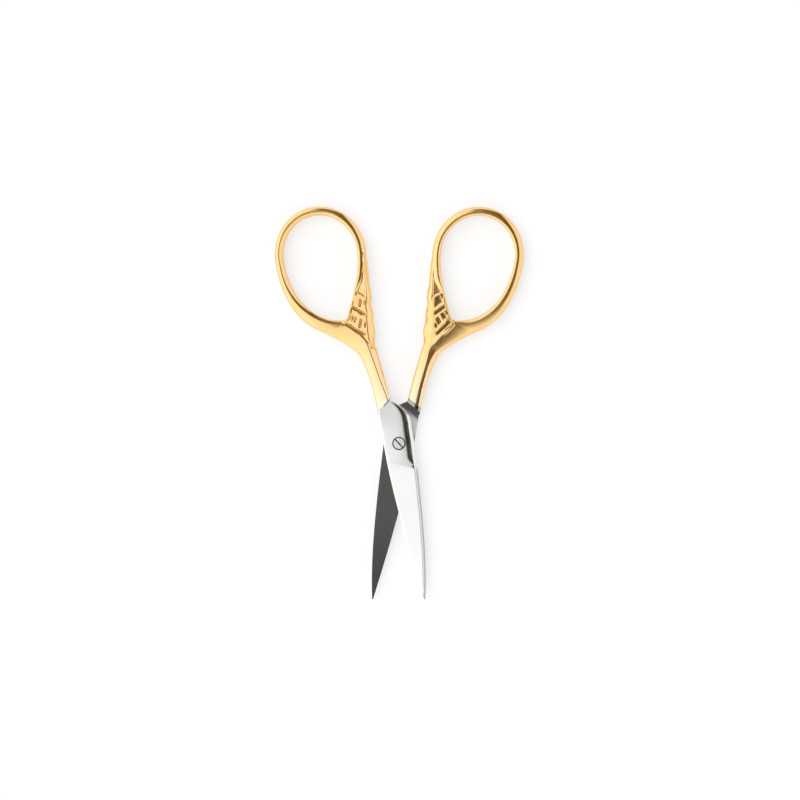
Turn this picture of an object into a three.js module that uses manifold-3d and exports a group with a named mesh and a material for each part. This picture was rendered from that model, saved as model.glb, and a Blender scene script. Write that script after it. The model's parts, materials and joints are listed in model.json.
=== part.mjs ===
import * as THREE from "three";
import { mergeVertices } from "three/addons/utils/BufferGeometryUtils.js";
import Module from "manifold-3d";

// Embroidery scissors lying a little open: two steel blades lapped on a slotted screw, each set in a gilt
// handle. Millimetres, +Z up, +Y towards the finger bows. The origin is on the pivot axis, in the plane on
// which the shanks and the end of the screw rest.
// Each half is drawn closed, seen from its outer side: pivot at 0, point towards -Y, spine at +X, bow at -X,
// and z from the plane where the halves lap. The back half is the same drawing turned over about Y.

// How the halves meet
const REST_ANGLE = 9.4; // degrees that each half is turned from closed
const LAP_GAP = 0.08; // between the flat inner faces
const SEAM_GAP = 0.06; // between a blade and the handle that it is set in
const SHOULDER_GAP = 0.15; // between a joint plate and the other half's shoulder when closed
const BOW_GAP = 0.5; // between the two bows when closed

// Blade and its joint plate
const BLADE_LENGTH = 35; // pivot to point
const EDGE_SIDE = 3.36; // pivot to the cutting side of the plate
const SPINE_SIDE = 3.4; // pivot to the spine side of the plate
const PLATE_THICKNESS = 1.3;
const PLATE_LENGTH = 4.1; // pivot to where the blade's facet starts
const FACET_RUN = 4.5; // length over which the flat plate turns into the facet
const PLATE_BEVEL = 1.75; // width of the hollow bevel on the plate's spine side
const PLATE_BEVEL_DROP = 0.65;
const PLATE_CHAMFER = 0.35;
const NECK_CHAMFER_DROP = 0.15; // what is left of the bevel where the plate meets the shank
const KNUCKLE_HEIGHT = 9.55; // pivot to the top of the plate, where it meets the shank
const KNUCKLE_FOOT = 2.96; // pivot to where the plate's spine side starts to round over
const POINT_WIDTH = 0.26;
const POINT_THICKNESS = 0.5;
const EDGE_THICKNESS = 0.1;
const EDGE_BEVEL = 0.45; // ground strip along the cutting edge
const EDGE_BEVEL_RISE = 0.24;
const SPINE_BEVEL = 0.55;
const SPINE_BEVEL_DROP = 0.4;

// Bolster and tang
const SHOULDER_SLOPE = 27.8; // degrees, shoulder on the inner face
const BOLSTER_LENGTH = 0.75; // bare steel between the shoulder and the gilt
const GILT_SLOPE = 40; // degrees, end of the gilt on the outer face
const GILT_RISE = 0.3; // from the shoulder to that end, on the shank's axis
const RAMP_LENGTH = 0.45; // hollow ground step from the gilt down to the plate
const TANG_LENGTH = 6;
const TANG_WIDTH = 1.5;
const TANG_THICKNESS = 0.9;

// Shank
const SHANK_PROUD = 0.26; // height of the shank above the plate
const SHANK_WIDTH = 3.35;
const FORK_HEIGHT = 22.4; // pivot to where the shank turns out towards the bow
const FORK_INSET = 1.72; // closing line to the inner edge of the shank there
const FORK_WIDTH = 3.6;
const FORK_LEAN = 24; // degrees that the shank has turned at the fork
const FORK_RUN = 2.3; // its outer edge holds that way this far
const SHANK_SQUARENESS = 3.4; // power of the oval section, 2 is round
const SHANK_ROOT = 5.7; // pivot to the foot of the shank's form, well under the gilt line

// Finger bow
const BOW_HEIGHT = 44; // pivot to the centre of the bow's round end
const HOLE_WIDTH = 16.3;
const HOLE_TOP = 8.75; // that centre to the top of the hole
const HOLE_DROP = 15.1; // that centre to the lower corner of the hole
const HOLE_LEAN = 2.95; // the corner lies this far towards the closing line
const CORNER_ROUND = 0.9;
const BAND_TOP = 2.05;
const BAND_OUTER = 2;
const BAND_INNER = 2;
const BAND_LOW = 3.1;
const BOW_THICKNESS = 2.8;
const BOW_SQUARENESS = 2.2;
const LANDING_ANGLE = 243; // degrees, the way out from the hole where the shank runs into the band
const LANDING_INNER = 0.35; // parts of the band's width between which it runs in
const LANDING_OUTER = 0.98;
const LANDING_HEIGHT = 0.75; // part of the band's thickness that it has left there

// Lattice panel between bow and shank
const PANEL_THICKNESS = 2.9;
const PANEL_INSET = 1; // hole to the panel's edge, under the crest of the band
const PANEL_RISE = 14; // corner of the hole to the top of the panel
const PANEL_ROUND = 0.3;
const EDGE_SWELLS = [[2.9, 0.3], [6.6, 0.14], [10.6, 0.2]]; // height above the fork, and how far it swells
const SWELL_LENGTH = 1.7; // middle of a swelling of the closing edge to its end
const RIM = 0.75; // plain edge left along the hole
const BORDER_LOW = 2.85; // plain border along the closing edge, at the fork
const BORDER_TOP = 0.6; // and at the top of the panel
const CARVING_DEPTH = 0.4;
const FORK_BAND = 1.08; // width of the lowest band, along the fork
const FORK_TUCK = 5.8; // fork to the place, along that band, towards which the shank runs in under it
const CARVED_ROWS = [[0.08, 0.5], [1.37, 2.8], [3.37, 4], [4.84, 6.42], [7.1, 9.7]]; // from the fork up
const BAR_PLACES = { 1: [5.2, 6.8, 8], 3: [9.65] }; // bars left standing in some of those rows
const BAR_WIDTH = 0.42;

// Screw
const SCREW_DIAMETER = 1.9;
const SCREW_FIT = 0.05; // radial clearance in the front bore
const THREAD_FIT = 0.03; // radial clearance in the back bore
const HEAD_DIAMETER = 2.62;
const HEAD_FIT = 0.1; // radial clearance of the head in its counterbore
const HEAD_THICKNESS = 0.55;
const HEAD_CHAMFER = 0.08;
const SLOT_WIDTH = 0.28;
const SLOT_DEPTH = 0.26;
const SLOT_ANGLE = -47; // degrees

// Fineness of the curves
const BLADE_STATIONS = 18;
const KNUCKLE_STATIONS = 8;
const SHANK_STATIONS = 20;
const BOW_STATIONS = 80;
const SECTION_POINTS = 16;
const ROUND_SIDES = 40;

const FAR = 60; // reach of the cutting tools, well outside the scissors

const rad = THREE.MathUtils.degToRad;
const { clamp, lerp, smoothstep } = THREE.MathUtils;
const at = (x, y) => new THREE.Vector2(x, y);

// Heights from the lap plane
const innerFace = LAP_GAP / 2;
const plateTop = innerFace + PLATE_THICKNESS;
const shankTop = plateTop + SHANK_PROUD;

const wasm = await Module();
wasm.setup();

function solid(geometry) {
  const bare = geometry.clone();
  bare.deleteAttribute("normal");
  bare.deleteAttribute("uv");
  const merged = mergeVertices(bare, 1e-5);
  return new wasm.Manifold(
    new wasm.Mesh({
      numProp: 3,
      vertProperties: merged.getAttribute("position").array,
      triVerts: new Uint32Array(merged.index.array),
    }),
  );
}

function meshOf(name, body, material) {
  const { vertProperties, triVerts } = body.getMesh();
  const geometry = new THREE.BufferGeometry();
  geometry.setAttribute("position", new THREE.BufferAttribute(vertProperties, 3));
  geometry.setIndex(new THREE.BufferAttribute(triVerts, 1));
  geometry.computeVertexNormals();
  const mesh = new THREE.Mesh(geometry, material);
  mesh.name = name;
  return mesh;
}

// A skin over rings of points, each ring right-handed about the way the rings go. Closed rings join last to
// first.
function loft(rings, closed = false) {
  const around = rings[0].length;
  const position = rings.flat().flatMap((p) => [p.x, p.y, p.z]);
  const index = [];
  const spans = closed ? rings.length : rings.length - 1;
  for (let i = 0; i < spans; i += 1) {
    const next = ((i + 1) % rings.length) * around;
    for (let j = 0; j < around; j += 1) {
      const k = (j + 1) % around;
      index.push(i * around + j, i * around + k, next + k);
      index.push(i * around + j, next + k, next + j);
    }
  }
  if (!closed) {
    [rings[0], rings.at(-1)].forEach((ring, end) => {
      const centre = position.length / 3;
      const middle = ring.reduce((sum, p) => sum.add(p), new THREE.Vector3()).divideScalar(around);
      position.push(middle.x, middle.y, middle.z);
      const first = end * (rings.length - 1) * around;
      for (let j = 0; j < around; j += 1) {
        const pair = [first + j, first + ((j + 1) % around)];
        index.push(centre, ...(end ? pair : pair.reverse()));
      }
    });
  }
  const geometry = new THREE.BufferGeometry();
  geometry.setAttribute("position", new THREE.Float32BufferAttribute(position, 3));
  geometry.setIndex(index);
  return geometry;
}

// A flat outline carried from one height to another.
function slab(points, low, high) {
  const shape = new THREE.Shape(points);
  const geometry = new THREE.ExtrudeGeometry(shape, { depth: high - low, bevelEnabled: false });
  return solid(geometry.translate(0, 0, low));
}

// Everything on the bow's side of a line across the shank, between two heights.
function above(point, slope, low, high) {
  const along = at(Math.cos(rad(slope)), Math.sin(rad(slope)));
  const up = at(-along.y, along.x);
  const start = point.clone().addScaledVector(along, -FAR);
  const end = point.clone().addScaledVector(along, FAR);
  const corners = [start, end, end.clone().addScaledVector(up, FAR), start.clone().addScaledVector(up, FAR)];
  return slab(corners, low, high);
}

function below(point, slope, low, high) {
  return above(point, slope + 180, low, high);
}

function rod(radius, low, high) {
  const geometry = new THREE.CylinderGeometry(radius, radius, high - low, ROUND_SIDES);
  return solid(geometry.rotateX(Math.PI / 2).translate(0, 0, (low + high) / 2));
}

// An oval section across from one edge point to another, squarer as power rises above 2.
function ovalRing(from, to, half, power) {
  const middle = from.clone().lerp(to, 0.5);
  const reach = to.clone().sub(middle);
  const round = (v) => Math.sign(v) * Math.abs(v) ** (2 / power);
  return Array.from({ length: SECTION_POINTS }, (_, j) => {
    const turn = (2 * Math.PI * j) / SECTION_POINTS;
    const p = middle.clone().addScaledVector(reach, round(Math.sin(turn)));
    return new THREE.Vector3(p.x, p.y, half * round(Math.cos(turn)));
  });
}

// The upper outline of the joint plate, from its spine side round the knuckle to the shank.
const knuckle = new THREE.CubicBezierCurve(
  at(SPINE_SIDE, KNUCKLE_FOOT),
  at(1.09 * SPINE_SIDE, 0.73 * KNUCKLE_HEIGHT),
  at(0.76 * SPINE_SIDE, 0.81 * KNUCKLE_HEIGHT),
  at(-0.1 * SPINE_SIDE, KNUCKLE_HEIGHT),
);

// The shank's inner edge bends away from the closing line up to the fork.
const fork = at(-FORK_INSET, FORK_HEIGHT);
const shankEdge = (y) => -FORK_INSET * (Math.max(y, 0) / FORK_HEIGHT) ** 2.2;

// The shoulder just clears the other half's knuckle when the scissors are closed.
const seamAxis = shankEdge(KNUCKLE_HEIGHT) - SHANK_WIDTH / 2;
const shoulderHeight =
  SHOULDER_GAP +
  Math.max(
    ...knuckle.getPoints(40).map((p) => p.y - Math.tan(rad(SHOULDER_SLOPE)) * (-p.x - seamAxis)),
  );
const shoulderPoint = at(seamAxis, shoulderHeight);
const innerGiltPoint = at(seamAxis, shoulderHeight + BOLSTER_LENGTH / Math.cos(rad(SHOULDER_SLOPE)));
const outerGiltPoint = at(seamAxis, shoulderHeight + GILT_RISE);

// Steel reaches up to the gilt line of each face; grow is how far a handle stands off it.
function steelZone(grow) {
  const lift = (point, slope) => point.clone().add(at(0, grow / Math.cos(rad(slope))));
  const outer = below(lift(outerGiltPoint, GILT_SLOPE), GILT_SLOPE, -grow, FAR);
  const inner = below(lift(innerGiltPoint, SHOULDER_SLOPE), SHOULDER_SLOPE, -FAR, grow);
  return outer.add(inner);
}

function tangBar(grow) {
  const left = seamAxis - TANG_WIDTH / 2 - grow;
  const right = seamAxis + TANG_WIDTH / 2 + grow;
  const low = shoulderHeight - TANG_LENGTH / 4;
  const high = shoulderHeight + TANG_LENGTH + grow;
  const middle = (innerFace + plateTop) / 2;
  const rise = TANG_THICKNESS / 2 + grow;
  const corners = [at(left, low), at(right, low), at(right, high), at(left, high)];
  return slab(corners, middle - rise, middle + rise);
}

// Cutting edge and spine from the pivot down to the point.
const edgeLine = new THREE.CubicBezierCurve(
  at(-EDGE_SIDE, 0),
  at(-0.985 * EDGE_SIDE, -0.3 * BLADE_LENGTH),
  at(-0.507 * EDGE_SIDE, -0.66 * BLADE_LENGTH),
  at(-POINT_WIDTH / 3, -BLADE_LENGTH),
);
const spineLine = new THREE.CubicBezierCurve(
  at(SPINE_SIDE, 0),
  at(0.84 * SPINE_SIDE, -0.36 * BLADE_LENGTH),
  at(0.67 * SPINE_SIDE, -0.72 * BLADE_LENGTH),
  at((2 * POINT_WIDTH) / 3, -BLADE_LENGTH),
);

// One section of the blade: flat inside, thin at the edge, a facet up to the ridge and a bevel down to the
// spine. Neck runs from 0 to 1 where the plate's bevel fades out towards the shank.
function bladeRing(edge, spine, neck = 0) {
  const across = spine.clone().sub(edge);
  const width = across.length();
  across.normalize();
  const depth = -(edge.y + spine.y) / 2;
  const facet = smoothstep(depth, PLATE_LENGTH, PLATE_LENGTH + FACET_RUN);
  const thickness = lerp(PLATE_THICKNESS, POINT_THICKNESS, clamp(depth / BLADE_LENGTH, 0, 1));
  const fit = (size, share) => Math.min(size, share * width);
  const plateBevel = lerp(PLATE_BEVEL, PLATE_CHAMFER, neck);
  const plateDrop = lerp(PLATE_BEVEL_DROP, NECK_CHAMFER_DROP, neck);
  const bevel = fit(lerp(plateBevel, 1.3 * SPINE_BEVEL, facet), 0.55);
  const ridge = fit(lerp(0.35 * plateBevel, SPINE_BEVEL, facet), 0.4);
  const drop = lerp(plateDrop, SPINE_BEVEL_DROP, facet);
  const edgeRun = fit(lerp(PLATE_CHAMFER, EDGE_BEVEL, facet), 0.3);
  const profile = [
    [0, 0],
    [0, lerp(thickness - PLATE_CHAMFER, EDGE_THICKNESS, facet)],
    [edgeRun, lerp(thickness, EDGE_THICKNESS + EDGE_BEVEL_RISE, facet)],
    [width - bevel, thickness],
    [width - ridge, thickness - lerp(0.4 * plateDrop, 0.05 * SPINE_BEVEL_DROP, facet)],
    [width, thickness - Math.min(drop, 0.7 * thickness)],
    [width, 0],
  ];
  return profile.map(([reach, height]) => {
    const p = edge.clone().addScaledVector(across, reach);
    return new THREE.Vector3(p.x, p.y, innerFace + height);
  });
}

function bladePlate() {
  const rings = [];
  for (let i = BLADE_STATIONS; i > 0; i -= 1) {
    const t = i / BLADE_STATIONS;
    rings.push(bladeRing(edgeLine.getPoint(t), spineLine.getPoint(t)));
  }
  rings.push(bladeRing(at(-EDGE_SIDE, 0), at(SPINE_SIDE, 0)));
  for (let i = 0; i <= KNUCKLE_STATIONS; i += 1) {
    const share = i / KNUCKLE_STATIONS;
    const edgeHeight = lerp(KNUCKLE_FOOT, KNUCKLE_HEIGHT, share);
    rings.push(bladeRing(at(-EDGE_SIDE, edgeHeight), knuckle.getPoint(share), share ** 2));
  }
  return solid(loft(rings));
}

// The hollow left by the wheel between the gilt line and the plate, as a cutting tool.
function rampHollow() {
  const steps = 4;
  const rise = shankTop - plateTop;
  const curve = Array.from({ length: steps + 1 }, (_, i) => {
    const run = i / steps;
    return at(RAMP_LENGTH * run, plateTop + rise * (1 - run) ** 1.6);
  });
  const shape = new THREE.Shape([...curve, at(FAR, plateTop), at(FAR, FAR), at(0, FAR)]);
  const geometry = new THREE.ExtrudeGeometry(shape, { depth: 2 * FAR, bevelEnabled: false });
  const along = rad(GILT_SLOPE);
  const down = new THREE.Vector3(Math.sin(along), -Math.cos(along), 0);
  const up = new THREE.Vector3(0, 0, 1);
  const across = new THREE.Vector3().crossVectors(down, up);
  const place = new THREE.Matrix4().makeBasis(down, up, across);
  place.setPosition(outerGiltPoint.x - across.x * FAR, outerGiltPoint.y - across.y * FAR, 0);
  return solid(geometry.applyMatrix4(place));
}

// The steel of one half. Form is the whole outer form of its handle, which gives the blade's root its sides.
function blade(form, bore, counterbore) {
  const rampFoot = outerGiltPoint.clone().add(at(0, -RAMP_LENGTH / Math.cos(rad(GILT_SLOPE))));
  const bolsterZone = above(shoulderPoint, SHOULDER_SLOPE, -FAR, FAR);
  const rampZone = above(rampFoot, GILT_SLOPE, innerFace, FAR);
  const root = form.intersect(bolsterZone.add(rampZone)).subtract(rampHollow());
  let steel = bladePlate().add(root).intersect(steelZone(0)).add(tangBar(0)).subtract(rod(bore, -FAR, FAR));
  if (counterbore) {
    steel = steel.subtract(rod(counterbore, plateTop - HEAD_THICKNESS, FAR));
  }
  return steel;
}

// The hole of the finger bow: a round top running down to a corner by the shank.
const bowCentre = at(-(BOW_GAP / 2 + BAND_INNER + HOLE_WIDTH / 2), BOW_HEIGHT);
const corner = at(bowCentre.x + HOLE_LEAN, bowCentre.y - HOLE_DROP);
function holePath() {
  const half = HOLE_WIDTH / 2;
  const left = at(corner.x - 1.1 * CORNER_ROUND, corner.y + 0.4 * CORNER_ROUND);
  const right = at(corner.x + 0.8 * CORNER_ROUND, corner.y + CORNER_ROUND);
  const path = new THREE.Path();
  path.moveTo(bowCentre.x + half, bowCentre.y);
  path.absellipse(bowCentre.x, bowCentre.y, half, HOLE_TOP, 0, Math.PI, false);
  path.bezierCurveTo(
    bowCentre.x - half, bowCentre.y - 0.545 * HOLE_DROP,
    lerp(left.x, bowCentre.x - half, 0.53), left.y + 0.068 * HOLE_DROP,
    left.x, left.y,
  );
  path.quadraticCurveTo(corner.x, corner.y, right.x, right.y);
  path.bezierCurveTo(
    lerp(right.x, bowCentre.x + half, 0.33), right.y + 0.21 * HOLE_DROP,
    bowCentre.x + half, bowCentre.y - 0.32 * HOLE_DROP,
    bowCentre.x + half, bowCentre.y,
  );
  return path;
}

// Points round the hole with the way out from it and the width of the band there.
const bowRound = (() => {
  const points = holePath().getSpacedPoints(BOW_STATIONS).slice(0, -1);
  return points.map((point, i) => {
    const before = points.at(i - 1);
    const after = points[(i + 1) % points.length];
    const along = after.clone().sub(before).normalize();
    const out = at(along.y, -along.x);
    const sideways = out.x < 0 ? BAND_OUTER : BAND_INNER;
    const upright = out.y < 0 ? BAND_LOW : BAND_TOP;
    return { point, out, width: sideways * out.x ** 2 + upright * out.y ** 2 };
  });
})();

function bow() {
  const rings = bowRound.map(({ point, out, width }) =>
    ovalRing(point, point.clone().addScaledVector(out, width), BOW_THICKNESS / 2, BOW_SQUARENESS),
  );
  return solid(loft(rings, true));
}

// The shank from under the gilt line up to the fork, then out along the low side of the bow.
function shank() {
  const straight = [0, 0.25, 0.5, 0.75].map((share) => {
    const y = lerp(SHANK_ROOT, FORK_HEIGHT, share);
    const inner = at(shankEdge(y), y);
    return { inner, outer: at(inner.x - SHANK_WIDTH, y), half: shankTop, power: SHANK_SQUARENESS };
  });
  const lean = rad(FORK_LEAN);
  const forkOuter = fork.clone().add(at(-Math.cos(lean), -Math.sin(lean)).multiplyScalar(FORK_WIDTH));
  const bend = forkOuter.clone().add(at(-Math.sin(lean), Math.cos(lean)).multiplyScalar(FORK_RUN));
  const landingWay = at(Math.cos(rad(LANDING_ANGLE)), Math.sin(rad(LANDING_ANGLE)));
  const landing = bowRound.reduce((best, station) =>
    station.out.dot(landingWay) > best.out.dot(landingWay) ? station : best,
  );
  const end = landing.point.clone().addScaledVector(landing.out, LANDING_INNER * landing.width);
  const endOuter = landing.point.clone().addScaledVector(landing.out, LANDING_OUTER * landing.width);
  const outerTurn = new THREE.QuadraticBezierCurve(forkOuter, bend, endOuter);
  const innerTurn = new THREE.QuadraticBezierCurve(fork, inBands(FORK_TUCK, CARVED_ROWS[0][0]), end);
  const turn = [0, 0.25, 0.5, 0.75, 1].map((share) => ({
    inner: innerTurn.getPoint(share),
    outer: outerTurn.getPoint(share),
    half: lerp(shankTop, LANDING_HEIGHT * (BOW_THICKNESS / 2), share ** 2),
    power: lerp(SHANK_SQUARENESS, BOW_SQUARENESS, share),
  }));
  const stations = [...straight, ...turn];
  const innerPath = new THREE.SplineCurve(stations.map(({ inner }) => inner));
  const outerPath = new THREE.SplineCurve(stations.map(({ outer }) => outer));
  const rings = Array.from({ length: SHANK_STATIONS + 1 }, (_, i) => {
    const t = i / SHANK_STATIONS;
    const place = t * (stations.length - 1);
    const from = stations[Math.floor(place)];
    const to = stations[Math.ceil(place)];
    const half = lerp(from.half, to.half, place % 1);
    const power = lerp(from.power, to.power, place % 1);
    return ovalRing(outerPath.getPoint(t), innerPath.getPoint(t), half, power);
  });
  return solid(loft(rings));
}

// The panel fills the angle between the bow and the closing line, down to the fork. Its closing edge swells a
// little in three places.
const panelTop = corner.y + PANEL_RISE;
function closingEdge(y) {
  const share = (panelTop - y) / (panelTop - FORK_HEIGHT);
  const swell = EDGE_SWELLS.reduce((sum, [height, reach]) => {
    const away = Math.min(Math.abs(y - FORK_HEIGHT - height) / SWELL_LENGTH, 1);
    return sum + reach * Math.cos((away * Math.PI) / 2) ** 2;
  }, 0);
  return lerp(-BOW_GAP / 2, -FORK_INSET, share ** 1.2) + swell;
}

// The cross bands lie along the line from the fork to the corner of the hole. Places in their frame are given
// from the fork, along the bands and up across them.
const bandLength = corner.distanceTo(fork);
const bandWay = corner.clone().sub(fork).normalize();
const bandUp = at(bandWay.y, -bandWay.x);
const inBands = (along, up) => fork.clone().addScaledVector(bandWay, along).addScaledVector(bandUp, up);

// Under the carving runs a plain core, which the fork and the low side of the bow close over. The carved face
// ends at the lowest band.
const carvingFloor = PANEL_THICKNESS / 2 - CARVING_DEPTH;
const besidePanel = bowRound.filter(({ point, out }) => out.x > 0.1 && point.y < panelTop);
function panel() {
  const steps = 26;
  const outside = Array.from({ length: steps + 1 }, (_, i) => {
    const y = lerp(FORK_HEIGHT - SHANK_WIDTH / 3, panelTop, i / steps);
    return at(closingEdge(y) - PANEL_ROUND, y);
  });
  const inside = besidePanel.map(({ point, out }) => point.clone().addScaledVector(out, PANEL_INSET));
  const sides = [...outside, ...inside.reverse()];
  const underBand = at(corner.x - 0.7 * BAND_LOW, corner.y - 0.5 * BAND_LOW);
  const core = [...sides, underBand, at(-FORK_INSET - FORK_WIDTH / 2, FORK_HEIGHT)];
  const lowest = CARVED_ROWS[0][0] - FORK_BAND + PANEL_ROUND;
  const face = [...sides, inBands(bandLength, lowest), inBands(FORK_BAND / 2, lowest)];
  const geometry = new THREE.ExtrudeGeometry(new THREE.Shape(face), {
    depth: PANEL_THICKNESS - 2 * PANEL_ROUND,
    bevelSize: PANEL_ROUND,
    bevelThickness: PANEL_ROUND,
    bevelSegments: 2,
  });
  const carved = solid(geometry.translate(0, 0, PANEL_ROUND - PANEL_THICKNESS / 2));
  return carved.add(slab(core, -carvingFloor, carvingFloor));
}

// A bar lying along or across the bands, right through the panel.
function bandBar(left, right, low, high) {
  const corners = [inBands(left, low), inBands(left, high), inBands(right, high), inBands(right, low)];
  return slab(corners, -FAR, FAR);
}

// The carving: rows sunk between the cross bands on both faces, inside a plain border and the rim of the
// hole, with bars left standing in some of them.
function carving() {
  const borderFoot = -FORK_INSET - BORDER_LOW;
  const borderHead = -BOW_GAP / 2 - BORDER_TOP;
  const border = (y) => lerp(borderFoot, borderHead, (y - FORK_HEIGHT) / (panelTop - FORK_HEIGHT));
  const rimSide = besidePanel
    .map(({ point, out }) => point.clone().addScaledVector(out, RIM))
    .filter(({ x, y }) => x < border(y) - BAR_WIDTH / 2);
  const head = rimSide.at(-1).y;
  const outline = [at(borderFoot, FORK_HEIGHT), at(border(head), head), ...rimSide.reverse()];
  const half = BAR_WIDTH / 2;
  const rows = CARVED_ROWS.map(([low, high], i) => {
    const row = bandBar(-FAR, FAR, low, high);
    const places = BAR_PLACES[i] ?? [];
    const bars = places.map((place) => bandBar(place - half, place + half, low - half, high + half));
    return bars.reduce((left, bar) => left.subtract(bar), row);
  });
  const faces = slab(outline, carvingFloor, FAR).add(slab(outline, -FAR, -carvingFloor));
  return rows.reduce((sum, row) => sum.add(row)).intersect(faces);
}

const form = bow().add(panel()).add(shank());
const gilt = form.subtract(carving()).subtract(steelZone(SEAM_GAP)).subtract(tangBar(SEAM_GAP));
const frontSteel = blade(form, SCREW_DIAMETER / 2 + SCREW_FIT, HEAD_DIAMETER / 2 + HEAD_FIT);
const backSteel = blade(form, SCREW_DIAMETER / 2 + THREAD_FIT, 0);

// The screw: head flush with the front plate, end proud of the back plate down to the resting plane.
function screw() {
  const head = HEAD_DIAMETER / 2;
  const shaft = SCREW_DIAMETER / 2;
  const underHead = plateTop - HEAD_THICKNESS + SCREW_FIT;
  const profile = [
    at(0, -shankTop),
    at(shaft - HEAD_CHAMFER, -shankTop),
    at(shaft, -shankTop + HEAD_CHAMFER),
    at(shaft, underHead),
    at(head, underHead),
    at(head, plateTop - HEAD_CHAMFER),
    at(head - HEAD_CHAMFER, plateTop),
    at(0, plateTop),
  ];
  const body = solid(new THREE.LatheGeometry(profile, ROUND_SIDES).rotateX(Math.PI / 2));
  const slot = new THREE.BoxGeometry(2 * HEAD_DIAMETER, SLOT_WIDTH, 2 * SLOT_DEPTH);
  return body.subtract(solid(slot.rotateZ(rad(SLOT_ANGLE)).translate(0, 0, plateTop)));
}

const brightSteel = (color, roughness) => new THREE.MeshStandardMaterial({ color, roughness, metalness: 1 });
const giltMetal = () => new THREE.MeshStandardMaterial({ color: 0xf2c46c, roughness: 0.18, metalness: 1 });

// A half drawn closed, turned to its place in the open scissors.
function half(turn, flipped, ...meshes) {
  const drawing = new THREE.Group();
  drawing.add(...meshes);
  drawing.rotation.y = flipped ? Math.PI : 0;
  const placed = new THREE.Group();
  placed.add(drawing);
  placed.position.z = shankTop;
  placed.rotation.z = rad(turn);
  return placed;
}

const frontHalf = half(
  REST_ANGLE,
  false,
  meshOf("front_blade", frontSteel, brightSteel(0xdcdad4, 0.28)),
  meshOf("front_handle", gilt, giltMetal()),
);
const backHalf = half(
  -REST_ANGLE,
  true,
  meshOf("back_blade", backSteel, brightSteel(0xc8c6c0, 0.32)),
  meshOf("back_handle", gilt, giltMetal()),
);
const pivotScrew = meshOf("pivot_screw", screw(), brightSteel(0xb8b6b0, 0.35));
pivotScrew.position.z = shankTop;

const scissors = new THREE.Group();
scissors.add(frontHalf, backHalf, pivotScrew);

export default scissors;
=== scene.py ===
import json
import math

import bmesh
import bpy
import numpy as np
from mathutils import Matrix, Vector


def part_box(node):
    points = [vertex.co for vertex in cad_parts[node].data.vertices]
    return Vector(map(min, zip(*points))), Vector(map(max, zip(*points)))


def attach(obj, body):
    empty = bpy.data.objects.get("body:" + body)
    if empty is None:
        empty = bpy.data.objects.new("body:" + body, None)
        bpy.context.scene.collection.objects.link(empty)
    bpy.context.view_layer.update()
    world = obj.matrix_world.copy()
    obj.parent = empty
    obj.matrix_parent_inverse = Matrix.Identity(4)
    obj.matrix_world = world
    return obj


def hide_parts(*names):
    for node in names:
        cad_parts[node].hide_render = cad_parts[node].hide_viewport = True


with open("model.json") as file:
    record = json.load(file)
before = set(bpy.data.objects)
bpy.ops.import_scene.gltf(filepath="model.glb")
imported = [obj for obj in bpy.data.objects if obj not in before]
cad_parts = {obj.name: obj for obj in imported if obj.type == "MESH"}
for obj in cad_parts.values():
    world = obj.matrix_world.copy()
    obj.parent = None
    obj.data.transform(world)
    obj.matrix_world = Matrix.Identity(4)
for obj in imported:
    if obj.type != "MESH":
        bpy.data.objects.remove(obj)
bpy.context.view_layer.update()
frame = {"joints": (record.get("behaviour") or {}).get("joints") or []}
scene = bpy.context.scene
scene.view_settings.view_transform = "Standard"
mm = 0.001

# Each half is drawn closed in millimetres, seen from its outer side, z from the plane where the halves lap,
# and then turned to its place. The back half is the same drawing turned over.
halves = {
    "restAngle": -frame["joints"][0]["range_deg"][0] / 2,
    "shankTop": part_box("front_handle")[1].z / mm / 2,
    "lapGap": 0.08,
    "seamGap": 0.06,
    "shoulderGap": 0.15,
    "shankProud": 0.26,
}
shankTop = halves["shankTop"]
plateTop = shankTop - halves["shankProud"]
innerFace = halves["lapGap"] / 2
far = 60.0  # past every part of the drawing


def mix(a, b, share):
    return a + (b - a) * share


def ease(value, low, high):
    share = np.clip((value - low) / (high - low), 0, 1)
    return share * share * (3 - 2 * share)


def flat(x, y):
    return np.array([x, y], float)


def heading(degrees):
    # unit vector along a slope and the one to its left
    turn = math.radians(degrees)
    return flat(math.cos(turn), math.sin(turn)), flat(-math.sin(turn), math.cos(turn))


def bezier(points, t):
    points = [np.asarray(p, float) for p in points]
    t = np.atleast_1d(t)[:, None]
    level = [np.repeat(p[None], len(t), 0) for p in points]
    while len(level) > 1:
        level = [mix(a, b, t) for a, b in zip(level, level[1:])]
    return level[0]


def through(knots, t):
    # smooth curve through the knots, in any number of columns
    knots = np.asarray(knots, float)
    place = np.clip(np.asarray(t) * (len(knots) - 1), 0, len(knots) - 1 - 1e-9)
    i = place.astype(int)
    u = (place - i)[:, None]
    last = len(knots) - 1
    p0, p1 = knots[np.maximum(i - 1, 0)], knots[i]
    p2, p3 = knots[np.minimum(i + 1, last)], knots[np.minimum(i + 2, last)]
    m1, m2 = (p2 - p0) / 2, (p3 - p1) / 2
    return (2 * p1 - 2 * p2 + m1 + m2) * u**3 + (3 * p2 - 3 * p1 - 2 * m1 - m2) * u**2 + m1 * u + p1


def operator(operation, swapped=False):
    if swapped:
        return lambda self, other: self.sum(operation, other, self)
    return lambda self, other: self.sum(operation, self, other)


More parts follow.
